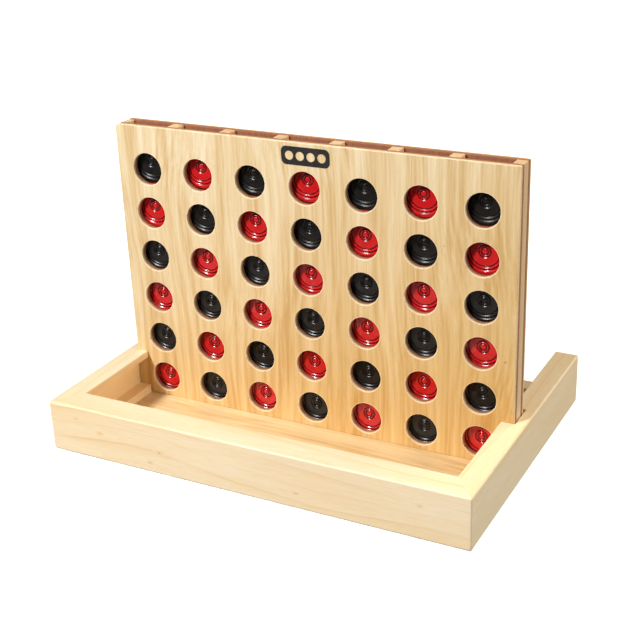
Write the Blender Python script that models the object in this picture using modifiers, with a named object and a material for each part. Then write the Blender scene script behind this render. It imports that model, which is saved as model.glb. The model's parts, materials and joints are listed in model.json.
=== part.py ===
# Four in a row, a boxed family game.  A board of two plywood faces glued over softwood
# strips stands upright in a pine tray, and 42 moulded discs are stacked in its seven columns.
# Metres, +Z up, +X along the board, -Y towards the front.  The origin is the middle of the
# tray's underside.

import math

import bmesh
import bpy
from mathutils import Matrix, Vector

# --- the game -------------------------------------------------------------------------------
COLUMNS = 7
ROWS = 6
TOUCH_GAP = 0.0003           # left between pieces that are glued or rest on each other

# --- discs ----------------------------------------------------------------------------------
DISC_DIAMETER = 0.0523
DISC_THICKNESS = 0.0116      # through the flat middle
DISC_RIM_THICKNESS = 0.0050
DISC_SLOPE_WIDTH = 0.0040    # the sloping band between the flat middle and the rim
DISC_SIDES = 20

# --- board ----------------------------------------------------------------------------------
PLY_THICKNESS = 0.0080
CHANNEL_PLAY = 0.0009        # disc face to plywood, each side
COLUMN_PLAY = 0.0006         # disc rim to divider, each side
DIVIDER_WIDTH = 0.0125
EDGE_STRIP_WIDTH = 0.0115
HOLE_DIAMETER = 0.0367
HOLE_SIDES = 16
HOLE_DROP = 0.0017           # the bottom row of holes below the middle of the bottom discs
HOLE_CREEP = 0.00115         # each row of holes is this much closer than the discs stack
TOP_MARGIN = 0.0492          # middle of the top row of holes to the top of the board

# --- tray -----------------------------------------------------------------------------------
TRAY_DEPTH = 0.3420
FRONT_RAIL_DEPTH = 0.0332
SIDE_RAIL_WIDTH = 0.0268
BACK_BAR_DEPTH = 0.0212
FLOOR_THICKNESS = 0.0050
LEDGE_HEIGHT = 0.0145        # top of the step below the groove, and of the back bar
LIP_THICKNESS = 0.0083       # wood above the groove
GROOVE_PLAY = 0.0072         # groove height less the board's thickness
SLOT_PLAY = 0.0067           # slot length less the board's thickness
SLOT_FRONT_Y = -0.0174       # the slot's front wall
SLOT_END_PLAY = 0.0013       # board edge to the slot's outer wall
SLOT_WALL = 0.0115           # wood left outside the slot and the groove

# --- sizes that follow ----------------------------------------------------------------------
disc_radius = DISC_DIAMETER / 2
disc_pitch = DISC_DIAMETER + TOUCH_GAP
channel_width = DISC_DIAMETER + 2 * COLUMN_PLAY
column_pitch = channel_width + DIVIDER_WIDTH
channel_depth = DISC_THICKNESS + 2 * CHANNEL_PLAY

board_width = COLUMNS * column_pitch - DIVIDER_WIDTH + 2 * EDGE_STRIP_WIDTH
board_thickness = channel_depth + 2 * PLY_THICKNESS
board_bottom = FLOOR_THICKNESS + TOUCH_GAP
board_y = SLOT_FRONT_Y + TOUCH_GAP + board_thickness / 2
first_row_z = board_bottom + disc_radius
first_hole_z = first_row_z - HOLE_DROP
hole_pitch = disc_pitch - HOLE_CREEP
board_top = first_hole_z + (ROWS - 1) * hole_pitch + TOP_MARGIN
first_column_x = -(COLUMNS - 1) * column_pitch / 2

slot_outer_x = board_width / 2 + SLOT_END_PLAY
slot_back_y = SLOT_FRONT_Y + board_thickness + SLOT_PLAY
tray_half_width = slot_outer_x + SLOT_WALL
rail_inner_x = tray_half_width - SIDE_RAIL_WIDTH
tray_front_y = -TRAY_DEPTH / 2
tray_back_y = TRAY_DEPTH / 2
front_rail_inner_y = tray_front_y + FRONT_RAIL_DEPTH
back_bar_front_y = tray_back_y - BACK_BAR_DEPTH
groove_top = LEDGE_HEIGHT + board_thickness + GROOVE_PLAY
rail_height = groove_top + LIP_THICKNESS
CUT_OVERRUN = 0.010          # how far a cutter runs past the wood it cuts


# --- collections and helpers ----------------------------------------------------------------
for old in list(bpy.data.objects):
    bpy.data.objects.remove(old, do_unlink=True)


def new_collection(name):
    made = bpy.data.collections.new(name)
    bpy.context.scene.collection.children.link(made)
    return made


parts = new_collection("four_in_a_row")
cutters = new_collection("cutters")


def new_material(name, colour, roughness, metallic=0.0):
    made = bpy.data.materials.new(name)
    made.use_nodes = True
    shader = made.node_tree.nodes["Principled BSDF"]
    shader.inputs["Base Color"].default_value = (*colour, 1.0)
    shader.inputs["Roughness"].default_value = roughness
    shader.inputs["Metallic"].default_value = metallic
    return made


def new_empty(name, place, parent=None):
    made = bpy.data.objects.new(name, None)
    made.empty_display_size = 0.03
    made.parent = parent
    made.location = place
    parts.objects.link(made)
    return made


def new_part(name, mesh, material, place, parent):
    """A named piece: place is in the parent's own frame."""
    made = bpy.data.objects.new(name, mesh)
    if material.name not in mesh.materials:
        mesh.materials.append(material)
    made.parent = parent
    made.location = place
    parts.objects.link(made)
    return made


def box_mesh(name, size):
    """A block centred on its origin."""
    mesh = bpy.data.meshes.new(name)
    bm = bmesh.new()
    bmesh.ops.create_cube(bm, size=1.0)
    bmesh.ops.scale(bm, vec=Vector(size), verts=bm.verts)
    bm.to_mesh(mesh)
    bm.free()
    return mesh


def block(name, low, high, material, parent, parent_place=(0, 0, 0)):
    """A rectangular piece between two corners given in the world."""
    size = [top - bottom for bottom, top in zip(low, high)]
    middle = [(top + bottom) / 2 - shift for bottom, top, shift in zip(low, high, parent_place)]
    return new_part(name, box_mesh(name, size), material, middle, parent)


def outline_mesh(name, points, thickness):
    """A flat outline in the XY plane, extruded half its thickness each way."""
    curve = bpy.data.curves.new(name, "CURVE")
    curve.dimensions = "2D"
    curve.fill_mode = "BOTH"
    curve.extrude = thickness / 2
    spline = curve.splines.new("POLY")
    spline.points.add(len(points) - 1)
    for point, (x, y) in zip(spline.points, points):
        point.co = (x, y, 0.0, 1.0)
    spline.use_cyclic_u = True
    shape = bpy.data.objects.new(name + "_outline", curve)
    parts.objects.link(shape)
    graph = bpy.context.evaluated_depsgraph_get()
    mesh = bpy.data.meshes.new_from_object(shape.evaluated_get(graph))
    bpy.data.objects.remove(shape, do_unlink=True)
    bpy.data.curves.remove(curve)
    bm = bmesh.new()
    bm.from_mesh(mesh)
    bmesh.ops.remove_doubles(bm, verts=bm.verts, dist=0.00001)
    bm.to_mesh(mesh)
    bm.free()
    mesh.name = name
    return mesh


def new_cutter(name, mesh, place):
    made = bpy.data.objects.new(name, mesh)
    made.location = place
    made.hide_render = True
    made.display_type = "WIRE"
    cutters.objects.link(made)
    return made


def box_cutter(name, low, high):
    size = [top - bottom for bottom, top in zip(low, high)]
    middle = [(top + bottom) / 2 for bottom, top in zip(low, high)]
    return new_cutter(name, box_mesh(name, size), middle)


def cut(piece, cutter):
    cutting = piece.modifiers.new(cutter.name, "BOOLEAN")
    cutting.operation = "DIFFERENCE"
    cutting.solver = "EXACT"
    cutting.object = cutter


pine = new_material("pine", (0.80, 0.58, 0.33), 0.55)
bar_pine = new_material("bar_pine", (0.74, 0.52, 0.27), 0.55)
floor_ply = new_material("floor_ply", (0.84, 0.62, 0.34), 0.50)
face_ply = new_material("face_ply", (0.76, 0.53, 0.26), 0.50)
strip_wood = new_material("strip_wood", (0.55, 0.36, 0.22), 0.65)
red_plastic = new_material("red_plastic", (0.58, 0.02, 0.02), 0.18)
black_plastic = new_material("black_plastic", (0.012, 0.011, 0.011), 0.18)

tray = new_empty("tray", (0, 0, 0))
board_place = Vector((0, board_y, board_bottom))
board = new_empty("board", board_place, tray)


# --- tray: front rail and side rails, mitred at the front corners ---------------------------
# The mitre runs from the outer corner to the inner one; the side rail is set back along Y so
# that the two cut faces stand TOUCH_GAP apart.
mitre_length = math.hypot(SIDE_RAIL_WIDTH, FRONT_RAIL_DEPTH)
mitre_setback = TOUCH_GAP * mitre_length / SIDE_RAIL_WIDTH

front_outline = [
    (-tray_half_width, tray_front_y),
    (tray_half_width, tray_front_y),
    (rail_inner_x, front_rail_inner_y),
    (-rail_inner_x, front_rail_inner_y),
]
new_part("front_rail", outline_mesh("front_rail", front_outline, rail_height), pine,
         (0, 0, rail_height / 2), tray)

for side, name in ((-1, "left_rail"), (1, "right_rail")):
    side_outline = [
        (side * tray_half_width, tray_front_y + mitre_setback),
        (side * tray_half_width, tray_back_y),
        (side * rail_inner_x, tray_back_y),
        (side * rail_inner_x, front_rail_inner_y + mitre_setback),
    ]
    rail = new_part(name, outline_mesh(name, side_outline, rail_height), pine,
                    (0, 0, rail_height / 2), tray)
    reach = sorted((side * (rail_inner_x - CUT_OVERRUN), side * slot_outer_x))
    # The groove along the inner face, in which the board slides flat to be put away.
    groove = box_cutter(name + "_groove",
                        (reach[0], tray_front_y - CUT_OVERRUN, LEDGE_HEIGHT),
                        (reach[1], tray_back_y + CUT_OVERRUN, groove_top))
    # The slot let down through lip and ledge, in which the board stands up to play.
    slot = box_cutter(name + "_slot",
                      (reach[0], SLOT_FRONT_Y, FLOOR_THICKNESS),
                      (reach[1], slot_back_y, rail_height + CUT_OVERRUN))
    cut(rail, groove)
    cut(rail, slot)

# --- tray: low bar across the back, and the floor between the rails -------------------------
between_rails = rail_inner_x - TOUCH_GAP
block("back_bar", (-between_rails, back_bar_front_y, 0),
      (between_rails, tray_back_y, LEDGE_HEIGHT), bar_pine, tray)
block("tray_floor", (-between_rails, front_rail_inner_y + TOUCH_GAP, 0),
      (between_rails, back_bar_front_y - TOUCH_GAP, FLOOR_THICKNESS), floor_ply, tray)


# --- board: two faces with a hole over every disc -------------------------------------------
def hole_grid():
    """One round cutter repeated over the columns and rows, long enough for both faces."""
    mesh = bpy.data.meshes.new("holes")
    bm = bmesh.new()
    bmesh.ops.create_cone(bm, cap_ends=True, segments=HOLE_SIDES,
                          radius1=HOLE_DIAMETER / 2, radius2=HOLE_DIAMETER / 2,
                          depth=board_thickness + 2 * CUT_OVERRUN)
    # Half a side's turn puts a flat at the bottom; the axis then lies along Y.
    bmesh.ops.rotate(bm, verts=bm.verts, matrix=Matrix.Rotation(math.pi / HOLE_SIDES, 3, "Z"))
    bmesh.ops.rotate(bm, verts=bm.verts, matrix=Matrix.Rotation(math.pi / 2, 3, "X"))
    bm.to_mesh(mesh)
    bm.free()
    grid = new_cutter("holes", mesh, (first_column_x, board_y, first_hole_z))
    for label, count, step in (("columns", COLUMNS, (column_pitch, 0, 0)),
                               ("rows", ROWS, (0, 0, hole_pitch))):
        repeat = grid.modifiers.new(label, "ARRAY")
        repeat.count = count
        repeat.use_relative_offset = False
        repeat.use_constant_offset = True
        repeat.constant_offset_displace = step
    return grid


holes = hole_grid()
front_face_y = board_y - board_thickness / 2
back_face_y = board_y + board_thickness / 2
for name, low_y, high_y in (("front_panel", front_face_y, front_face_y + PLY_THICKNESS),
                            ("back_panel", back_face_y - PLY_THICKNESS, back_face_y)):
    panel = block(name, (-board_width / 2, low_y, board_bottom),
                  (board_width / 2, high_y, board_top), face_ply, board, board_place)
    cut(panel, holes)

# --- board: the strips between the faces, which make the seven columns ----------------------
strip_front_y = front_face_y + PLY_THICKNESS + TOUCH_GAP
strip_back_y = back_face_y - PLY_THICKNESS - TOUCH_GAP


def strip(name, low_x, high_x):
    block(name, (low_x, strip_front_y, board_bottom), (high_x, strip_back_y, board_top),
          strip_wood, board, board_place)


strip("left_edge_strip", -board_width / 2, -board_width / 2 + EDGE_STRIP_WIDTH)
strip("right_edge_strip", board_width / 2 - EDGE_STRIP_WIDTH, board_width / 2)
for number in range(1, COLUMNS):
    middle_x = first_column_x + (number - 0.5) * column_pitch
    strip(f"divider_{number}", middle_x - DIVIDER_WIDTH / 2, middle_x + DIVIDER_WIDTH / 2)


# --- discs: turned about Z, then stood on edge ----------------------------------------------
def disc_mesh(name, material):
    flat_radius = disc_radius - DISC_SLOPE_WIDTH
    half_middle = DISC_THICKNESS / 2
    half_rim = DISC_RIM_THICKNESS / 2
    profile = [(0, half_middle), (flat_radius, half_middle), (disc_radius, half_rim),
               (disc_radius, -half_rim), (flat_radius, -half_middle), (0, -half_middle)]
    mesh = bpy.data.meshes.new(name)
    points = [(radius, 0, height) for radius, height in profile]
    mesh.from_pydata(points, [(n, n + 1) for n in range(len(points) - 1)], [])
    mesh.materials.append(material)
    return mesh


def turn(piece):
    screw = piece.modifiers.new("turned", "SCREW")
    screw.axis = "Z"
    screw.angle = 2 * math.pi
    screw.steps = DISC_SIDES
    screw.render_steps = DISC_SIDES
    screw.use_merge_vertices = True
    screw.merge_threshold = 0.00001
    screw.use_smooth_shade = False


red_disc = disc_mesh("red_disc", red_plastic)
black_disc = disc_mesh("black_disc", black_plastic)
stand_on_edge = Matrix.Rotation(math.pi / 2, 4, "X")

# Each disc rests on the one below, so it is parented to it; the lowest rests on the floor.
for column in range(COLUMNS):
    below = tray
    for row in range(ROWS):
        mesh, material = ((black_disc, black_plastic) if (column + row) % 2
                          else (red_disc, red_plastic))
        name = f"disc_c{column + 1}_r{row + 1}"
        disc = new_part(name, mesh, material, (0, 0, 0), below)
        place = Vector((first_column_x + column * column_pitch, board_y,
                        first_row_z + row * disc_pitch))
        bpy.context.view_layer.update()
        disc.matrix_world = Matrix.Translation(place) @ stand_on_edge
        turn(disc)
        bpy.context.view_layer.update()
        below = disc
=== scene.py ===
import json
import math
import random

import bmesh
import bpy
from mathutils import Matrix, Vector


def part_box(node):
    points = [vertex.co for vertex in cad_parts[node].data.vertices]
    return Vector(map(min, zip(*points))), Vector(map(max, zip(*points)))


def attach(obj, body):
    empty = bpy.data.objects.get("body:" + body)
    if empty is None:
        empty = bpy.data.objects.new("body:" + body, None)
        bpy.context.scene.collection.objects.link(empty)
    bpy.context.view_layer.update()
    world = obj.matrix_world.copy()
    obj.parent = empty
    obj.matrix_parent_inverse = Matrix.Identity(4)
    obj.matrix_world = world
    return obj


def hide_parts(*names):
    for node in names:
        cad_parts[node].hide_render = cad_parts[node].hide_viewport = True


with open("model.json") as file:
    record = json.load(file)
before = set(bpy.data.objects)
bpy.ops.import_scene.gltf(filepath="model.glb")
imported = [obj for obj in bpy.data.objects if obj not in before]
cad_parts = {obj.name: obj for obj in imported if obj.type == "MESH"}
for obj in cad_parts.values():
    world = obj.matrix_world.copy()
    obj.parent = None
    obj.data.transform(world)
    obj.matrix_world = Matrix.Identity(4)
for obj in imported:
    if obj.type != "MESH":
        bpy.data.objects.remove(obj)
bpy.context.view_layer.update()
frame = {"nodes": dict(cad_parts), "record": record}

# --- Tray: the four-sided frame ---------------------------------------------------------------
# A thick pine rail across the front is mitred and glued to two side rails.  Each side rail has
# a groove ploughed along its inner face, and one slot let down through it for the board.  The
# glued frame is sanded as one, so its outer edges are softly rounded right round the corners.
MM = 0.001
PINE_PALE = (252, 232, 198)
PINE_WARM = (247, 217, 166)
PINE_LATE = (234, 184, 114)
PINE_KNOT = (186, 130, 78)
PINE_BOUNCE_TINT = (255, 242, 208)
RAIL_ROUNDING = 2.2 * MM
FRONT_LIP_ROUNDING = 1.2 * MM
SIDE_LIP_ROUNDING = 1.0 * MM
CUT_ARRIS = 0.35 * MM
MITRE_GLUE_LINE = 0.05 * MM
OVERRUN = 10 * MM


def levels(node, axis):
    """The places along one axis where a piece of the frame has corners, lowest first."""
    found = []
    for vertex in frame["nodes"][node].data.vertices:
        here = vertex.co[axis]
        if all(abs(here - other) > 0.2 * MM for other in found):
            found.append(here)
    return sorted(found)


def paint(red, green, blue):
    """A swatch's red, green and blue, 0 to 255, as a linear colour."""
    def linear(value):
        share = value / 255
        return share / 12.92 if share < 0.04045 else ((share + 0.055) / 1.055) ** 2.4
    return (linear(red), linear(green), linear(blue), 1.0)


def new_piece(name, bm):
    """A mesh object from a bmesh that is in world coordinates."""
    mesh = bpy.data.meshes.new(name)
    bm.to_mesh(mesh)
    bm.free()
    piece = bpy.data.objects.new(name, mesh)
    bpy.context.scene.collection.objects.link(piece)
    return piece


def prism(name, corners, low_z, high_z):
    """A flat outline in plan, drawn up from low_z to high_z."""
    bm = bmesh.new()
    base = bm.faces.new([bm.verts.new((x, y, low_z)) for x, y in corners])
    grown = bmesh.ops.extrude_face_region(bm, geom=[base])["geom"]
    tops = [item for item in grown if isinstance(item, bmesh.types.BMVert)]
    bmesh.ops.translate(bm, verts=tops, vec=(0, 0, high_z - low_z))
    bmesh.ops.recalc_face_normals(bm, faces=bm.faces)
    return new_piece(name, bm)


def stick(name, low, high, rounding=0.0, steps=1):
    """A straight-sided length of wood between two corners, all its edges rounded over."""
    bm = bmesh.new()
    bmesh.ops.create_cube(bm, size=1.0)
    size = Vector(high) - Vector(low)
    bmesh.ops.scale(bm, vec=size, verts=bm.verts)
    bmesh.ops.translate(bm, vec=(Vector(high) + Vector(low)) / 2, verts=bm.verts)
    if rounding:
        bmesh.ops.bevel(bm, geom=list(bm.edges), offset=rounding, segments=steps,
                        profile=0.5, affect="EDGES", clamp_overlap=True)
    return new_piece(name, bm)


def settle(piece):
    """Turns a piece's modifiers into its mesh."""
    graph = bpy.context.evaluated_depsgraph_get()
    piece.data = bpy.data.meshes.new_from_object(piece.evaluated_get(graph))
    piece.modifiers.clear()


def work(piece, operation, tool):
    """Cuts a piece with a tool, or keeps only what lies inside it, and puts the tool away."""
    saw = piece.modifiers.new("saw", "BOOLEAN")
    saw.operation = operation
    saw.solver = "EXACT"
    saw.object = tool
    bpy.context.view_layer.update()
    settle(piece)
    bpy.data.objects.remove(tool, do_unlink=True)


def break_edges(piece, width, steps, wanted):
    """Takes the sharpness off the square edges that wanted(middle, direction) picks."""
    bm = bmesh.new()
    bm.from_mesh(piece.data)
    bmesh.ops.dissolve_limit(bm, angle_limit=math.radians(0.5), verts=bm.verts, edges=bm.edges)
    square = [edge for edge in bm.edges
              if len(edge.link_faces) == 2 and edge.calc_face_angle() > math.radians(50)
              and wanted((edge.verts[0].co + edge.verts[1].co) / 2,
                         (edge.verts[1].co - edge.verts[0].co).normalized())]
    bmesh.ops.bevel(bm, geom=square, offset=width, segments=steps, profile=0.5,
                    affect="EDGES", clamp_overlap=True)
    bm.to_mesh(piece.data)
    bm.free()


def shade(piece, angle=35):
    """Smooth shading that stays flat on the flats and breaks at the square edges."""
    piece.data.shade_smooth()
    piece.data.set_sharp_from_angle(angle=math.radians(angle))
    flats = piece.modifiers.new("flats", "WEIGHTED_NORMAL")
    flats.keep_sharp = True
    flats.weight = 100


def new_finish(name):
    finish = bpy.data.materials.new(name)
    finish.use_nodes = True
    return finish, finish.node_tree, finish.node_tree.nodes["Principled BSDF"]


def feed(tree, socket, value):
    """Links a socket to another one, or sets it to a number or a colour."""
    if isinstance(value, bpy.types.NodeSocket):
        tree.links.new(value, socket)
    else:
        socket.default_value = value


def node(tree, kind, settings=None, **inputs):
    made = tree.nodes.new("ShaderNode" + kind)
    for setting, value in (settings or {}).items():
        setattr(made, setting, value)
    for name, value in inputs.items():
        feed(tree, made.inputs[name.replace("_", " ")], value)
    return made


def maths(tree, operation, *values, clamp=False):
    made = node(tree, "Math", {"operation": operation, "use_clamp": clamp})
    for socket, value in zip(made.inputs, values):
        feed(tree, socket, value)
    return made.outputs[0]


def arrows(tree, operation, *values):
    """The same for vectors; a length or a distance comes back as a number."""
    made = node(tree, "VectorMath", {"operation": operation})
    for socket, value in zip(made.inputs, values):
        feed(tree, socket, value)
    return made.outputs["Value" if operation in ("LENGTH", "DISTANCE") else "Vector"]


def mix(tree, share, one, other, blend="MIX"):
    made = node(tree, "Mix", {"data_type": "RGBA", "blend_type": blend})
    for slot, value in ((0, share), (6, one), (7, other)):
        feed(tree, made.inputs[slot], value)
    return made.outputs[2]


def ramp(tree, value, *stops):
    """A colour or a grey for each stop of a value that runs from 0 to 1."""
    made = node(tree, "ValToRGB", Fac=value)
    places = made.color_ramp.elements
    while len(places) < len(stops):
        places.new(0.5)
    for element, (position, colour) in zip(places, stops):
        element.position = position
        element.color = colour if isinstance(colour, tuple) else (colour, colour, colour, 1.0)
    return made.outputs["Color"]


def fade(tree, value, low, high, start=0.0, end=1.0):
    """Runs smoothly from start to end as a value goes from low to high."""
    made = node(tree, "MapRange", {"interpolation_type": "SMOOTHSTEP"}, Value=value)
    for name, number in (("From Min", low), ("From Max", high), ("To Min", start),
                         ("To Max", end)):
        made.inputs[name].default_value = number
    return made.outputs["Result"]


def cloud(tree, place, stretch, detail=2.0, roughness=0.5, distortion=0.0):
    """Noise with so many waves to the metre along each axis."""
    stretched = arrows(tree, "MULTIPLY", place, stretch)
    return node(tree, "TexNoise", Vector=stretched, Scale=1.0, Detail=detail,
                Roughness=roughness, Distortion=distortion).outputs["Fac"]


def along_grain(tree, axis, shift=(0, 0, 0)):
    """A piece's own coordinates in metres, turned so that the grain runs along X."""
    place = arrows(tree, "ADD", node(tree, "TexCoord").outputs["Object"], shift)
    split = node(tree, "SeparateXYZ", Vector=place)
    order = {"X": "XYZ", "Y": "YXZ", "Z": "ZXY"}[axis]
    turned = node(tree, "CombineXYZ", X=split.outputs[order[0]], Y=split.outputs[order[1]],
                  Z=split.outputs[order[2]])
    return turned.outputs[0]


def surface(tree, shader, colour, height, roughness, depth):
    """Joins colour, roughness and a fine relief of so many metres to the shader."""
    feed(tree, shader.inputs["Base Color"], colour)
    feed(tree, shader.inputs["Roughness"], roughness)
    relief = node(tree, "Bump", Strength=0.5, Distance=depth, Height=height)
    feed(tree, shader.inputs["Normal"], relief.outputs["Normal"])


def pine(name, axis, heart, shift=(0, 0, 0), knots=(), ring=15 * MM,
         pale=PINE_PALE, warm=PINE_WARM, late=PINE_LATE, figure=0.60, bounce_tint_within=None):
    """Flat-sawn pine: a few wandering growth rings round a heart line that runs with the grain,
    cloudy warm patches, fibres, resin flecks and pin knots.  heart is its place across the grain.
    Nearer the middle than the limit given last, and below the top, warm bounce light is painted on
    it: yellower."""
    finish, tree, shader = new_finish(name)
    place = along_grain(tree, axis, shift)
    slow = cloud(tree, place, (2.1, 6, 6), detail=1.0)
    ripple = cloud(tree, place, (9, 40, 40), detail=3.0)
    across = arrows(tree, "MULTIPLY", arrows(tree, "SUBTRACT", place, (0, *heart)), (0, 1, 1))
    radius = arrows(tree, "LENGTH", across)
    wandered = maths(tree, "MULTIPLY_ADD", slow, 0.055, radius)
    wandered = maths(tree, "MULTIPLY_ADD", ripple, 0.007, wandered)
    rings = maths(tree, "DIVIDE", wandered, ring)
    own = node(tree, "TexCoord").outputs["Object"]
    stretch = [0.45 if letter == axis else 1.0 for letter in "XYZ"]
    knot_core, knot_halo = 0.0, 0.0
    for *middle, size in knots:
        offset = arrows(tree, "MULTIPLY", arrows(tree, "SUBTRACT", own, tuple(middle)), stretch)
        away = maths(tree, "MULTIPLY_ADD", ripple, 0.6 * size, arrows(tree, "LENGTH", offset))
        knot_core = maths(tree, "MAXIMUM", knot_core, fade(tree, away, 1.2 * size, 0.5 * size))
        knot_halo = maths(tree, "MAXIMUM", knot_halo, fade(tree, away, 5 * size, size))
    rings = maths(tree, "MULTIPLY_ADD", knot_halo, 0.5, rings)
    within = maths(tree, "FRACT", rings)
    count = maths(tree, "FLOOR", rings)
    strength = node(tree, "TexWhiteNoise", {"noise_dimensions": "1D"}, W=count).outputs["Value"]
    latewood = ramp(tree, within, (0.0, 0.0), (0.55, 0.06), (0.84, 0.40), (0.95, 1.0), (1.0, 0.0))
    fading = fade(tree, cloud(tree, place, (4, 26, 26), detail=2.0), 0.34, 0.60, 0.15)
    latewood = maths(tree, "MULTIPLY", latewood, maths(tree, "MULTIPLY", strength, fading))
    latewood = maths(tree, "MULTIPLY", latewood, figure)
    patches = fade(tree, cloud(tree, place, (3.5, 26, 26), detail=3.0), 0.36, 0.66)
    streaks = fade(tree, cloud(tree, place, (14, 330, 330), detail=3.0, roughness=0.6), 0.40, 0.66)
    fibres = cloud(tree, place, (60, 1300, 1300), detail=3.0, roughness=0.6)
    flecks = fade(tree, cloud(tree, place, (130, 1100, 1100), detail=2.0), 0.66, 0.78)
    colour = mix(tree, maths(tree, "MULTIPLY", patches, 0.55), paint(*pale), paint(*warm))
    colour = mix(tree, maths(tree, "MULTIPLY", streaks, 0.32), colour, paint(*warm))
    colour = mix(tree, latewood, colour, paint(*late))
    colour = mix(tree, ramp(tree, fibres, (0.32, 0.22), (0.60, 0.0)), colour, paint(*late))
    colour = mix(tree, maths(tree, "MULTIPLY", flecks, 0.30), colour, paint(*PINE_KNOT))
    colour = mix(tree, maths(tree, "MULTIPLY", knot_halo, 0.35), colour, paint(*late))
    colour = mix(tree, maths(tree, "MULTIPLY", knot_core, 0.75), colour, paint(*PINE_KNOT))
    # painted warm bounce light: the rail's inner faces below its top are tinted yellower
    if bounce_tint_within:
        split = node(tree, "SeparateXYZ", Vector=own)
        inside = fade(tree, maths(tree, "ABSOLUTE", split.outputs["X"]), bounce_tint_within + 0.6 * MM,
                      bounce_tint_within + 0.2 * MM)
        below = fade(tree, split.outputs["Z"], rail_top - 1.0 * MM, rail_top - 2.5 * MM, 0.0, 0.75)
        sawn = mix(tree, 1.0, colour, paint(*PINE_BOUNCE_TINT), blend="MULTIPLY")
        colour = mix(tree, maths(tree, "MULTIPLY", inside, below), colour, sawn)
    height = maths(tree, "SUBTRACT", fibres, maths(tree, "MULTIPLY", latewood, 0.5))
    surface(tree, shader, colour, height, fade(tree, fibres, 0.25, 0.75, 0.58, 0.44), 0.10 * MM)
    return finish


rail_inner, slot_end, tray_half = levels("right_rail", 0)
*_, slot_front, slot_back, tray_back = levels("right_rail", 1)
underside, slot_floor, ledge, groove_top, rail_top = levels("right_rail", 2)
front_low, front_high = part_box("front_rail")
tray_front, front_inner = front_low.y, front_high.y


def sanded_frame():
    """The whole frame's outside, rounded: what each rail is sanded down to."""
    return stick("sanded", (-tray_half, tray_front, underside), (tray_half, tray_back, rail_top),
                 RAIL_ROUNDING, 5)


def on_mitre(point):
    """True on the cut faces of the front corners' mitres."""
    run = tray_half - rail_inner
    rise = front_inner - tray_front
    past = (abs(point.x) - rail_inner) / run
    return abs(front_inner - past * rise - point.y) < 0.6 * MM and abs(point.x) > rail_inner - MM


front_rail = prism("front_rail_sanded",
                   [(-tray_half, tray_front), (tray_half, tray_front),
                    (rail_inner, front_inner), (-rail_inner, front_inner)], underside, rail_top)
break_edges(front_rail, FRONT_LIP_ROUNDING, 4,
            lambda middle, way: middle.z > rail_top - MM and middle.y > front_inner - MM)
work(front_rail, "INTERSECT", sanded_frame())
front_rail.data.materials.append(
    pine("front_rail_pine", "X", heart=(-0.30, -0.105), ring=13 * MM,
         knots=((-0.182, tray_front, 0.0335, 0.8 * MM), (-0.118, tray_front, 0.012, 0.7 * MM),
                (-0.105, tray_front, 0.0265, 0.9 * MM), (-0.213, tray_front, 0.045, 0.6 * MM),
                (0.060, tray_front, 0.0180, 0.6 * MM), (0.196, tray_front, 0.0380, 0.6 * MM))))
shade(front_rail)
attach(front_rail, "tray")
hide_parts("front_rail")

for side, rail_name, heart in ((-1, "left_rail", (0.12, -0.19)), (1, "right_rail", (-0.06, 0.26))):
    rail = prism(rail_name + "_sanded",
                 [(side * tray_half, tray_front + MITRE_GLUE_LINE), (side * tray_half, tray_back),
                  (side * rail_inner, tray_back),
                  (side * rail_inner, front_inner + MITRE_GLUE_LINE)], underside, rail_top)
    reach = sorted((side * (rail_inner - OVERRUN), side * slot_end))
    work(rail, "DIFFERENCE", stick("plough", (reach[0], tray_front - OVERRUN, ledge),
                                   (reach[1], tray_back + OVERRUN, groove_top)))
    work(rail, "DIFFERENCE", stick("chisel", (reach[0], slot_front, slot_floor),
                                   (reach[1], slot_back, rail_top + OVERRUN)))
    break_edges(rail, SIDE_LIP_ROUNDING, 3,
                lambda middle, way: (middle.z > rail_top - MM and abs(way.y) > 0.9
                                     and abs(abs(middle.x) - rail_inner) < MM
                                     and not on_mitre(middle)))
    work(rail, "INTERSECT", sanded_frame())
    break_edges(rail, CUT_ARRIS, 2,
                lambda middle, way: (abs(middle.x) < slot_end + MM and not on_mitre(middle)
                                     and middle.z > underside + MM))
    rail.data.materials.append(
        pine(rail_name + "_pine", "Y", heart=heart, shift=(0, 0.4 * side, 0), figure=0.50,
             bounce_tint_within=slot_end))
    shade(rail)
    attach(rail, "tray")
    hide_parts(rail_name)

# --- Tray: low bar across the back --------------------------------------------------------------
# A square pine bar, glued between the side rails level with the step below their grooves, so
# that the board can slide in flat over it.
BAR_ROUNDING = 0.9 * MM
bar_low, bar_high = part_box("back_bar")
back_bar = stick("back_bar_sanded", bar_low, bar_high, BAR_ROUNDING, 3)
back_bar.data.materials.append(
    pine("back_bar_pine", "X", heart=(0.26, 0.07), shift=(0.7, 0, 0),
         knots=((-0.131, bar_high.y, 0.006, 0.9 * MM), (0.083, bar_low.y + 6 * MM, ledge, 0.8 * MM))))
shade(back_bar)
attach(back_bar, "tray")
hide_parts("back_bar")

# --- Tray: floor panel --------------------------------------------------------------------------
# A thin plywood panel, its face grain along the tray, glued in between the rails and the back
# bar with its underside level with theirs.  The board stands on it.
FLOOR_TONES = ((242, 217, 168), (232, 200, 148), (214, 175, 118))
FLOOR_ARRIS = 0.3 * MM
VENEER_PORE = (170, 118, 66)


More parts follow.
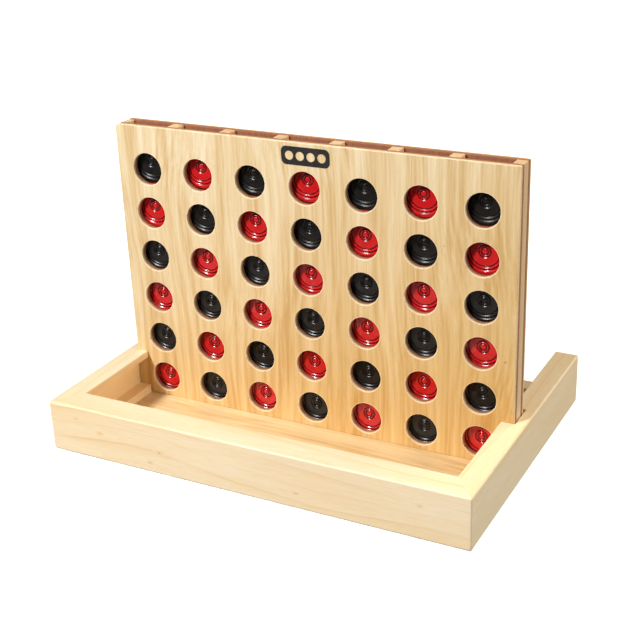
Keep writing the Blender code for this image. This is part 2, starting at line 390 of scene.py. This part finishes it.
def veneer(tree, place, pale, warm, deep):
    """Peeled veneer, the grain along X: slow wandering bands, finer streaks inside them, and
    hair-thin pores.  Gives its colour and its relief."""
    drift = cloud(tree, place, (3.0, 5, 5), detail=1.0)
    lean = node(tree, "CombineXYZ", X=0.0, Y=maths(tree, "MULTIPLY", drift, 0.055),
                Z=maths(tree, "MULTIPLY", drift, 0.055)).outputs[0]
    place = arrows(tree, "ADD", place, lean)
    bands = cloud(tree, place, (2.2, 44, 44), detail=2.0, distortion=0.3)
    strands = cloud(tree, place, (5, 150, 150), detail=2.0, roughness=0.6, distortion=0.2)
    streaks = cloud(tree, place, (11, 420, 420), detail=3.0, roughness=0.65)
    fibres = cloud(tree, place, (45, 1500, 1500), detail=2.0, roughness=0.6)
    pores = fade(tree, cloud(tree, place, (120, 1900, 1900), detail=1.0), 0.66, 0.76)
    tone = maths(tree, "MULTIPLY_ADD", bands, 0.40, maths(tree, "MULTIPLY", strands, 0.36))
    tone = maths(tree, "MULTIPLY_ADD", streaks, 0.24, tone)
    colour = ramp(tree, tone, (0.39, paint(*pale)), (0.50, paint(*warm)), (0.61, paint(*deep)))
    colour = mix(tree, ramp(tree, fibres, (0.35, 0.20), (0.60, 0.0)), colour, paint(*deep))
    colour = mix(tree, maths(tree, "MULTIPLY", pores, 0.28), colour, paint(*VENEER_PORE))
    return colour, maths(tree, "SUBTRACT", fibres, maths(tree, "MULTIPLY", pores, 0.6))


def panel_floor():
    finish, tree, shader = new_finish("floor_veneer")
    colour, height = veneer(tree, along_grain(tree, "X", (0.0, 0.9, 0.0)), *FLOOR_TONES)
    surface(tree, shader, colour, height, 0.50, 0.08 * MM)
    return finish


tray_floor = stick("tray_floor_sanded", *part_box("tray_floor"), FLOOR_ARRIS, 1)
tray_floor.data.materials.append(panel_floor())
shade(tray_floor)
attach(tray_floor, "tray")
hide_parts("tray_floor")

# --- Board: the two plywood faces ---------------------------------------------------------------
# Plywood with an upright face grain, drilled through with a viewing hole over every disc.  The
# outer plies are pale and the inner ones reddish, with dark glue between, which shows in the
# holes and along the top.  The drill has left a few torn fibres.  A pale highlight is painted
# round each hole's rim, and warm bounce light and shade towards the board's foot and right.
VENEER_PALE = (238, 221, 189)
VENEER_WARM = (228, 204, 161)
VENEER_DEEP = (209, 173, 119)
HOLE_SEGMENTS = 72
HOLE_EASING = 0.65 * MM
HOLE_RIM_HIGHLIGHT = (255, 236, 200)
TORN_FIBRE = (128, 82, 48)
BOARD_BOUNCE_TINT = (242, 222, 176)
CORNER_STEPS = 8
CORNER_RADII = {(-1, 1): 5.0 * MM, (1, 1): 1.4 * MM, (-1, -1): 2.0 * MM, (1, -1): 2.0 * MM}
COLUMNS, ROWS = 7, 6


def disc_name(column, row):
    return f"disc_c{column + 1}_r{row + 1}"


def middle_of(node_name):
    low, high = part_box(node_name)
    return (low + high) / 2


# the frame's own holes give the grid: the first column's rim points, left to right and up
board_low, board_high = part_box("front_panel")
board_top = board_high.z
face_thickness = board_high.y - board_low.y
column_pitch = middle_of(disc_name(1, 0)).x - middle_of(disc_name(0, 0)).x
first_rims = [v.co for v in frame["nodes"]["front_panel"].data.vertices
              if board_low.x + MM < v.co.x < board_low.x + column_pitch
              and board_low.z + MM < v.co.z < board_top - MM]
rim_left, rim_right = min(p.x for p in first_rims), max(p.x for p in first_rims)
rim_bottom, rim_top = min(p.z for p in first_rims), max(p.z for p in first_rims)
flat_radius = (rim_right - rim_left) / 2
first_hole_x = (rim_left + rim_right) / 2
first_hole_z = rim_bottom + flat_radius
hole_pitch = (rim_top - flat_radius - first_hole_z) / (ROWS - 1)
hole_radius = max(math.hypot(p.x - first_hole_x, p.z - first_hole_z) for p in first_rims
                  if p.z < first_hole_z + flat_radius + MM)
hole_grid = [(first_hole_x + column * column_pitch, first_hole_z + row * hole_pitch)
             for column in range(COLUMNS) for row in range(ROWS)]


def add_loop(curve, points):
    spline = curve.splines.new("POLY")
    spline.points.add(len(points) - 1)
    for point, (x, y) in zip(spline.points, points):
        point.co = (x, y, 0.0, 1.0)
    spline.use_cyclic_u = True


def plate(name, loops, thickness, easing, place):
    """A flat sheet cut to an outline with holes, its edges eased, stood up facing -Y."""
    curve = bpy.data.curves.new(name, "CURVE")
    curve.dimensions = "2D"
    curve.fill_mode = "BOTH"
    curve.extrude = thickness / 2 - easing
    curve.bevel_depth = easing
    curve.bevel_resolution = 1
    curve.offset = -easing
    for points in loops:
        add_loop(curve, points)
    drawn = bpy.data.objects.new(name, curve)
    bpy.context.scene.collection.objects.link(drawn)
    graph = bpy.context.evaluated_depsgraph_get()
    mesh = bpy.data.meshes.new_from_object(drawn.evaluated_get(graph))
    bpy.data.objects.remove(drawn, do_unlink=True)
    mesh.transform(Matrix.Translation(place) @ Matrix.Rotation(math.pi / 2, 4, "X"))
    bm = bmesh.new()
    bm.from_mesh(mesh)
    bmesh.ops.remove_doubles(bm, verts=bm.verts, dist=0.002 * MM)
    bmesh.ops.recalc_face_normals(bm, faces=bm.faces)
    return new_piece(name, bm)


def circle(x, y, radius, segments, turn=1):
    return [(x + radius * math.cos(turn * math.tau * n / segments),
             y + radius * math.sin(turn * math.tau * n / segments)) for n in range(segments)]


def rounded_outline(low, high, radii):
    """A rectangle, anticlockwise, with its own radius at each corner."""
    points = []
    for way_x, way_z, start in ((1, -1, -0.25), (1, 1, 0.0), (-1, 1, 0.25), (-1, -1, 0.5)):
        radius = radii[way_x, way_z]
        corner_x = (high.x if way_x > 0 else low.x) - way_x * radius
        corner_z = (high.z if way_z > 0 else low.z) - way_z * radius
        for step in range(CORNER_STEPS + 1):
            turn = math.tau * (start + 0.25 * step / CORNER_STEPS)
            points.append((corner_x + radius * math.cos(turn), corner_z + radius * math.sin(turn)))
    return points


def from_nearest(tree, value, first, pitch, count):
    """How far a place is from the nearest of an evenly spaced row."""
    steps = maths(tree, "DIVIDE", maths(tree, "SUBTRACT", value, first), pitch)
    steps = maths(tree, "MINIMUM", maths(tree, "MAXIMUM", steps, 0.0), count - 1.0)
    place = maths(tree, "MULTIPLY_ADD", maths(tree, "ROUND", steps), pitch, first)
    return maths(tree, "SUBTRACT", value, place)


def face_plywood(name, outer_y, inward, shift, pin_knots=()):
    """Plywood read from its outer face inwards: face veneer, pale core, glue, red-brown core
    and inner veneer.  inward is +1 or -1 along Y."""
    finish, tree, shader = new_finish(name)
    own = node(tree, "TexCoord").outputs["Object"]
    split = node(tree, "SeparateXYZ", Vector=own)
    depth = maths(tree, "MULTIPLY", maths(tree, "SUBTRACT", split.outputs["Y"], outer_y),
                  inward / face_thickness)
    face, relief = veneer(tree, along_grain(tree, "Z", shift), VENEER_PALE, VENEER_WARM,
                          VENEER_DEEP)
    # painted warm bounce light and shade: the colour deepens towards the board's foot and its right
    corner = maths(tree, "MULTIPLY_ADD", split.outputs["X"], -0.42, split.outputs["Z"])
    bounce_tinted_share = fade(tree, corner, board_high.z + 0.06, board_low.z - 0.08, 0.0, 0.95)
    face = mix(tree, bounce_tinted_share, face, mix(tree, 1.0, face, paint(*BOARD_BOUNCE_TINT), blend="MULTIPLY"))
    # the plies, seen on every cut edge
    waver = cloud(tree, own, (55, 0, 55), detail=2.0)
    layer = maths(tree, "MULTIPLY_ADD", maths(tree, "SUBTRACT", waver, 0.5), 0.05, depth)
    plies = ramp(tree, layer, (0.0, paint(252, 234, 200)), (0.12, paint(248, 222, 180)),
                 (0.44, paint(218, 176, 130)), (0.50, paint(96, 56, 34)),
                 (0.55, paint(186, 132, 94)), (0.86, paint(174, 118, 82)),
                 (0.91, paint(100, 60, 38)), (0.96, paint(186, 128, 88)))
    cut_fibres = cloud(tree, own, (420, 420, 420), detail=3.0, roughness=0.7)
    plies = mix(tree, ramp(tree, cut_fibres, (0.40, 0.0), (0.72, 0.38)), plies,
                paint(120, 76, 46))
    # the inner veneer, all of it reddish brown
    inner = mix(tree, cloud(tree, own, (260, 260, 6), detail=3.0), paint(112, 64, 42),
                paint(170, 108, 76))
    colour = mix(tree, fade(tree, depth, 0.020, 0.045), face, plies)
    colour = mix(tree, fade(tree, depth, 0.955, 0.975), colour, inner)
    # torn fibres round each hole on the outer face, and a painted pale highlight along each rim
    across = from_nearest(tree, split.outputs["X"], first_hole_x, column_pitch, COLUMNS)
    up = from_nearest(tree, split.outputs["Z"], first_hole_z, hole_pitch, ROWS)
    from_rim = maths(tree, "SUBTRACT", arrows(tree, "LENGTH", node(
        tree, "CombineXYZ", X=across, Y=up, Z=0.0).outputs[0]), hole_radius)
    near_rim = fade(tree, from_rim, 2.2 * MM, 0.3 * MM)
    torn = fade(tree, cloud(tree, own, (900, 900, 190), detail=2.0, roughness=0.7), 0.60, 0.70)
    low_left = fade(tree, maths(tree, "ADD", across, up), 2 * MM, -14 * MM)
    torn = maths(tree, "MULTIPLY", maths(tree, "MULTIPLY", torn, near_rim), low_left)
    outside = fade(tree, depth, 0.12, 0.04)
    # painted highlight: a pale line round the rim of each hole
    colour = mix(tree, maths(tree, "MULTIPLY", fade(tree, from_rim, 1.3 * MM, 0.5 * MM),
                             maths(tree, "MULTIPLY", outside, 0.55)), colour,
                 paint(*HOLE_RIM_HIGHLIGHT))
    colour = mix(tree, maths(tree, "MULTIPLY", torn, maths(tree, "MULTIPLY", outside, 0.75)),
                 colour, paint(*TORN_FIBRE))
    for x, z, size in pin_knots:
        away = arrows(tree, "DISTANCE", own, (x, outer_y, z))
        colour = mix(tree, fade(tree, away, 4 * size, size, 0.0, 0.35), colour,
                     paint(*VENEER_DEEP))
        colour = mix(tree, fade(tree, away, 1.3 * size, 0.6 * size, 0.0, 0.8), colour,
                     paint(112, 68, 36))
    height = maths(tree, "SUBTRACT", relief, maths(tree, "MULTIPLY", torn, 1.5))
    surface(tree, shader, colour, height, fade(tree, depth, 0.02, 0.05, 0.42, 0.68), 0.10 * MM)
    return finish


for panel_name, inward, shift, pins in (
        ("front_panel", 1, (0.31, 0.0, 0.12),
         ((board_high.x - 11 * MM, 0.128, 0.9 * MM), (0.062, 0.196, 0.5 * MM),
          (-0.158, 0.092, 0.5 * MM), (0.158, 0.245, 0.5 * MM))),
        ("back_panel", -1, (-0.57, 0.0, 0.44),
         ((-0.031, 0.236, 0.9 * MM), (0.163, 0.093, 0.7 * MM), (-0.171, 0.301, 0.6 * MM)))):
    low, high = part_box(panel_name)
    outer_y = low.y if inward > 0 else high.y
    loops = [rounded_outline(low, high, CORNER_RADII)]
    loops += [circle(x, z, hole_radius, HOLE_SEGMENTS, turn=-1) for x, z in hole_grid]
    panel = plate(panel_name + "_drilled", loops, high.y - low.y, HOLE_EASING,
                  (0, (low.y + high.y) / 2, 0))
    panel.data.materials.append(face_plywood(panel_name + "_ply", outer_y, inward, shift, pins))
    shade(panel, 50)
    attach(panel, "board")
    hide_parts(panel_name)

# --- Board: edge strips and dividers ------------------------------------------------------------
# Sawn softwood strips, glued between the faces with their grain upright.  They space the faces
# and part the columns; the end grain of each shows along the open top.
STRIP_PALE = (236, 204, 160)
STRIP_WARM = (218, 176, 128)
STRIP_LATE = (178, 126, 84)
STRIP_ARRIS = 0.35 * MM

strips = ["left_edge_strip", "right_edge_strip"] + [f"divider_{n}" for n in range(1, COLUMNS)]
for number, strip_name in enumerate(strips):
    low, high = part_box(strip_name)
    strip = stick(strip_name + "_sawn", low, high, STRIP_ARRIS, 2)
    if strip_name == "left_edge_strip":
        work(strip, "INTERSECT", plate("corner", [rounded_outline(board_low, board_high,
                                                                  CORNER_RADII)],
                                       high.y - low.y + 2 * MM, 0.1 * MM,
                                       (0, (low.y + high.y) / 2, 0)))
    strip.data.materials.append(
        pine(strip_name + "_pine", "Z", heart=(low.x - 11 * MM - 3 * MM * number, 0.03),
             shift=(0, 0, 0.37 * number), ring=2.6 * MM, pale=STRIP_PALE, warm=STRIP_WARM,
             late=STRIP_LATE, figure=0.55))
    shade(strip)
    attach(strip, "board")
    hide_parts(strip_name)

# --- Board: printed badge -----------------------------------------------------------------------
# A plain black pictogram, four round counters in a row left bare in a bar, screen-printed above
# the middle column.
BADGE_WIDTH = 57 * MM
BADGE_HEIGHT = 20 * MM
BADGE_CORNER = 6 * MM
BADGE_INK = 0.04 * MM
BADGE_DOT = 4.8 * MM
BADGE_BELOW_TOP = 14.5 * MM
BADGE_RIGHT = 3 * MM

badge_z = board_top - BADGE_BELOW_TOP
badge_low = Vector((BADGE_RIGHT - BADGE_WIDTH / 2, 0, badge_z - BADGE_HEIGHT / 2))
badge_high = Vector((BADGE_RIGHT + BADGE_WIDTH / 2, 0, badge_z + BADGE_HEIGHT / 2))
badge_loops = [rounded_outline(badge_low, badge_high, {key: BADGE_CORNER for key in CORNER_RADII})]
badge_loops += [circle(BADGE_RIGHT + (n - 1.5) * BADGE_WIDTH / 4.5, badge_z, BADGE_DOT, 40, turn=-1)
                for n in range(4)]
badge = plate("badge_print", badge_loops, 2 * BADGE_INK, 0.2 * BADGE_INK,
              (0, board_low.y, 0))
ink, ink_tree, ink_shader = new_finish("printing_ink")
ink_cover = cloud(ink_tree, node(ink_tree, "TexCoord").outputs["Object"], (1500, 40, 90),
                  detail=3.0)
surface(ink_tree, ink_shader,
        ramp(ink_tree, ink_cover, (0.30, paint(20, 19, 18)), (0.75, paint(44, 40, 36))),
        ink_cover, fade(ink_tree, ink_cover, 0.3, 0.7, 0.45, 0.60), 0.03 * MM)
badge.data.materials.append(ink)
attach(badge, "board")

# --- Discs --------------------------------------------------------------------------------------
# Solid injection-moulded counters, red and black, alike on both faces: a domed button, a ring
# round it, a flat, two raised ridges and a band that falls away to the rim.  They stand loose on
# one another in their columns, each a little askew.
DISC_SEGMENTS = 72
DISC_STEP = 0.4 * MM
RIM_HALF = 2.4 * MM
FACE_PROFILE = (  # radius and height above the flat, of each crest and hollow from the middle out
    (0.0 * MM, 0.30 * MM), (2.2 * MM, 0.15 * MM), (3.6 * MM, -0.80 * MM), (5.0 * MM, 0.30 * MM),
    (6.4 * MM, -0.85 * MM), (8.0 * MM, 0.05 * MM), (15.2 * MM, 0.0 * MM), (16.5 * MM, -0.85 * MM),
    (18.3 * MM, 0.30 * MM), (20.0 * MM, -0.95 * MM), (21.9 * MM, 0.15 * MM), (24.4 * MM, -0.50 * MM),
)
HOLLOWS = (3.7 * MM, 6.5 * MM, 16.2 * MM, 19.8 * MM)
PLASTICS = {  # body, worn and painted hollow-shade colours, roughness and shine
    "red": ((192, 24, 27), (208, 54, 50), (66, 4, 8), 0.16, 0.42),
    "black": ((24, 22, 21), (46, 43, 40), (5, 4, 4), 0.27, 0.33),
}
DISC_LEAN = 0.8  # degrees either way
DISC_FORWARD = 0.45 * MM
DISC_SHIFT = 0.2 * MM
disc_low, disc_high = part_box(disc_name(0, 0))
disc_radius = (disc_high.z - disc_low.z) / 2
disc_half = (disc_high.y - disc_low.y) / 2
flat_height = disc_half - FACE_PROFILE[0][1]


def face_height(radius):
    """Half the disc's thickness at a radius: smooth rises and falls between crests and hollows."""
    for (inner, low), (outer, high) in zip(FACE_PROFILE, FACE_PROFILE[1:]):
        if inner <= radius <= outer:
            share = (radius - inner) / (outer - inner)
            return flat_height + low + (high - low) * 0.5 * (1 - math.cos(math.pi * share))
    inner, low = FACE_PROFILE[-1]
    share = min(1.0, (radius - inner) / (disc_radius - inner))
    return RIM_HALF + (flat_height + low - RIM_HALF) * math.sqrt(1 - share ** 2)


def turned_disc(name):
    """The disc's profile turned about Y."""
    count = round(disc_radius / DISC_STEP)
    radii = [disc_radius * n / count for n in range(count)]
    face = [(radius, face_height(radius)) for radius in radii]
    face += [(disc_radius, RIM_HALF)]
    profile = face + [(radius, -height) for radius, height in reversed(face)]
    bm = bmesh.new()
    verts = [bm.verts.new((radius, -height, 0)) for radius, height in profile]
    edges = [bm.edges.new(pair) for pair in zip(verts, verts[1:])]
    bmesh.ops.spin(bm, geom=verts + edges, cent=(0, 0, 0), axis=(0, 1, 0), angle=math.tau,
                   steps=DISC_SEGMENTS, use_merge=True)
    bmesh.ops.remove_doubles(bm, verts=bm.verts, dist=0.01 * MM)
    bmesh.ops.recalc_face_normals(bm, faces=bm.faces)
    mesh = bpy.data.meshes.new(name)
    bm.to_mesh(mesh)
    bm.free()
    mesh.shade_smooth()
    return mesh


def moulded(name, body, worn, hollow_shade, roughness, shine):
    """Glossy moulded plastic: faint flow marks, dull scuffs towards the rim and painted shade in the
    hollows.
    """
    finish, tree, shader = new_finish(name)
    own = node(tree, "TexCoord").outputs["Object"]
    which = node(tree, "ObjectInfo").outputs["Random"]
    place = arrows(tree, "ADD", own, node(tree, "CombineXYZ", X=which, Y=which, Z=0.0).outputs[0])
    flow = cloud(tree, place, (60, 60, 60), detail=2.0, distortion=0.8)
    scuffs = cloud(tree, place, (900, 900, 160), detail=3.0, roughness=0.65)
    radius = arrows(tree, "LENGTH", arrows(tree, "MULTIPLY", own, (1, 0, 1)))
    rim = fade(tree, radius, disc_radius - 1.6 * MM, disc_radius)
    rubbed = maths(tree, "MULTIPLY", fade(tree, scuffs, 0.50, 0.68),
                   maths(tree, "MULTIPLY_ADD", rim, 0.8, 0.12))
    colour = mix(tree, ramp(tree, flow, (0.35, 0.0), (0.70, 0.30)), paint(*body), paint(*worn))
    colour = mix(tree, maths(tree, "MULTIPLY", rubbed, 0.5), colour, paint(*worn))
    # painted shade: each hollow of the face is darkened towards a near-black colour
    hollow_shade_share = 0.0
    for hollow in HOLLOWS:
        away = maths(tree, "ABSOLUTE", maths(tree, "SUBTRACT", radius, hollow))
        hollow_shade_share = maths(tree, "MAXIMUM", hollow_shade_share, fade(tree, away, 1.2 * MM, 0.4 * MM, 0.0, 0.86))
    colour = mix(tree, hollow_shade_share, colour, paint(*hollow_shade))
    gloss = maths(tree, "ADD", roughness, maths(tree, "MULTIPLY", rubbed, 0.25))
    gloss = maths(tree, "MULTIPLY_ADD", scuffs, 0.06, gloss)
    surface(tree, shader, colour, scuffs, gloss, 0.012 * MM)
    shader.inputs["IOR"].default_value = 1.49
    shader.inputs["Specular IOR Level"].default_value = shine
    return finish


disc_meshes = {}
for colour_name, plastic in PLASTICS.items():
    mesh = turned_disc(colour_name + "_disc")
    mesh.materials.append(moulded(colour_name + "_plastic", *plastic))
    disc_meshes[colour_name + "_plastic"] = mesh

slots = {part["node"]: part["material_slot"] for part in frame["record"]["subparts"]}
loose = random.Random(4)
for column in range(COLUMNS):
    for row in range(ROWS):
        node_name = disc_name(column, row)
        disc = bpy.data.objects.new(node_name + "_moulded", disc_meshes[slots[node_name]])
        bpy.context.scene.collection.objects.link(disc)
        middle = middle_of(node_name)
        forward = Vector((0, loose.uniform(-DISC_SHIFT, DISC_SHIFT) - DISC_FORWARD, 0))
        tilt = Matrix.Rotation(math.radians(loose.uniform(-DISC_LEAN, DISC_LEAN)), 4, "X")
        swing = Matrix.Rotation(math.radians(loose.uniform(-DISC_LEAN, DISC_LEAN)), 4, "Z")
        disc.matrix_world = Matrix.Translation(middle + forward) @ tilt @ swing
        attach(disc, node_name)
        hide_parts(node_name)

# --- Studio: white paper, soft lights and the camera ----------------------------------------------
# White paper lies under the game and hangs all round it, and glows so that it stays white.  A
# softbox stands high at the front left, with a cool fill on the right and a warm wash behind, in
# a dim grey room.  The camera looks down a little, from the front right.
FLOOR_SPAN = 14.0
SWEEP_RADIUS = 6.5
SWEEP_HEIGHT = 6.0
PAPER_GLOW = 0.50
CARD_REACH = 0.33
CARD_HALF = 1.2
AIM = Vector((0.0030, 0.0017, 0.1301))
KEY_FROM = Vector((-0.37, -0.68, 0.62))
KEY_DISTANCE, KEY_SIZE, KEY_WATTS = 2.6, 0.45, 84
FILL_FROM = Vector((1.0, -0.08, 0.42))
FILL_DISTANCE, FILL_SIZE, FILL_WATTS = 3.0, 1.2, 42
FILL_COLOUR = (0.94, 0.98, 1.0)
BACK_FROM = Vector((0.40, 0.70, 0.62))
BACK_DISTANCE, BACK_SIZE, BACK_WATTS = 3.0, 1.4, 56
BACK_COLOUR = (1.0, 0.90, 0.74)
CAMERA_AZIMUTH = 28.2
CAMERA_ELEVATION = 23.6
CAMERA_ROLL = -2.2
CAMERA_DISTANCE = 1.3764
CAMERA_LENS = 69.9

bm = bmesh.new()
bmesh.ops.create_grid(bm, x_segments=8, y_segments=8, size=FLOOR_SPAN / 2)
table = new_piece("studio_table", bm)
table.location.z = -0.2 * MM
paper, paper_tree, paper_shader = new_finish("white_paper")
paper_grain = cloud(paper_tree, node(paper_tree, "TexCoord").outputs["Object"], (300, 300, 300))
surface(paper_tree, paper_shader,
        ramp(paper_tree, paper_grain, (0.3, paint(250, 250, 250)), (0.7, paint(253, 253, 253))),
        paper_grain, 0.9, 0.02 * MM)
paper_shader.inputs["Specular IOR Level"].default_value = 0.0
paper_shader.inputs["Emission Color"].default_value = (1.0, 1.0, 1.0, 1.0)
# at full glow far off, and less of it near the game
paper_away = arrows(paper_tree, "LENGTH", node(paper_tree, "TexCoord").outputs["Object"])
feed(paper_tree, paper_shader.inputs["Emission Strength"],
     fade(paper_tree, paper_away, 0.5, 1.6, PAPER_GLOW, 1.0))
table.data.materials.append(paper)
table.visible_diffuse = False
table.visible_glossy = False

# the same paper hangs all round, well away from the game
bm = bmesh.new()
hem = [bm.verts.new((x, y, -1.0 * MM)) for x, y in circle(0, 0, SWEEP_RADIUS, 48)]
hung = [bm.verts.new(corner.co + Vector((0, 0, SWEEP_HEIGHT))) for corner in hem]
for n in range(len(hem)):
    bm.faces.new((hem[n - 1], hung[n - 1], hung[n], hem[n]))
sweep = new_piece("studio_sweep", bm)
sweep.data.materials.append(paper)
sweep.visible_diffuse = False
sweep.visible_glossy = False
sweep.visible_shadow = False

# a white card lies before the tray, seen only as a soft gleam in what is glossy
card = stick("studio_card", (-CARD_HALF, tray_front - CARD_REACH, -2.0 * MM),
             (CARD_HALF, tray_front, -1.0 * MM))
card.data.materials.append(paper)
card.visible_camera = False
card.visible_diffuse = False
card.visible_shadow = False

# the room: an even grey to the sides, darker overhead
room = bpy.data.worlds.new("grey_room")
room.use_nodes = True
sky = room.node_tree
direction = node(sky, "SeparateXYZ", Vector=node(sky, "TexCoord").outputs["Generated"])
feed(sky, sky.nodes["Background"].inputs["Color"],
     ramp(sky, direction.outputs["Z"], (0.0, 0.16), (0.25, 0.15), (0.9, 0.07)))
room.cycles_visibility.glossy = False
bpy.context.scene.world = room


def softbox(name, way, distance, size, watts, shiny=True, colour=(1.0, 1.0, 1.0)):
    """A square area light that faces the middle of the game."""
    lamp = bpy.data.lights.new(name, "AREA")
    lamp.shape = "SQUARE"
    lamp.size = size
    lamp.energy = watts
    lamp.color = colour
    light = bpy.data.objects.new(name, lamp)
    light.location = AIM + way.normalized() * distance
    light.rotation_euler = way.to_track_quat("Z", "Y").to_euler()
    light.visible_glossy = shiny
    bpy.context.scene.collection.objects.link(light)


softbox("key_softbox", KEY_FROM, KEY_DISTANCE, KEY_SIZE, KEY_WATTS)
softbox("side_fill", FILL_FROM, FILL_DISTANCE, FILL_SIZE, FILL_WATTS, shiny=False,
        colour=FILL_COLOUR)
softbox("back_wash", BACK_FROM, BACK_DISTANCE, BACK_SIZE, BACK_WATTS, shiny=False,
        colour=BACK_COLOUR)

camera_data = bpy.data.cameras.new("camera")
camera_data.lens = CAMERA_LENS
camera_data.sensor_width = 36.0
camera = bpy.data.objects.new("camera", camera_data)
azimuth, elevation = math.radians(CAMERA_AZIMUTH), math.radians(CAMERA_ELEVATION)
back = Vector((math.sin(azimuth) * math.cos(elevation), -math.cos(azimuth) * math.cos(elevation),
               math.sin(elevation)))
right = Vector((math.cos(azimuth), math.sin(azimuth), 0))
up = back.cross(right)
roll = math.radians(CAMERA_ROLL)
right, up = (math.cos(roll) * right + math.sin(roll) * up,
             math.cos(roll) * up - math.sin(roll) * right)
turned = Matrix((right, up, back)).transposed().to_4x4()
camera.matrix_world = Matrix.Translation(AIM + back * CAMERA_DISTANCE) @ turned
bpy.context.scene.collection.objects.link(camera)
bpy.context.scene.camera = camera
bpy.context.scene.view_settings.view_transform = "Standard"
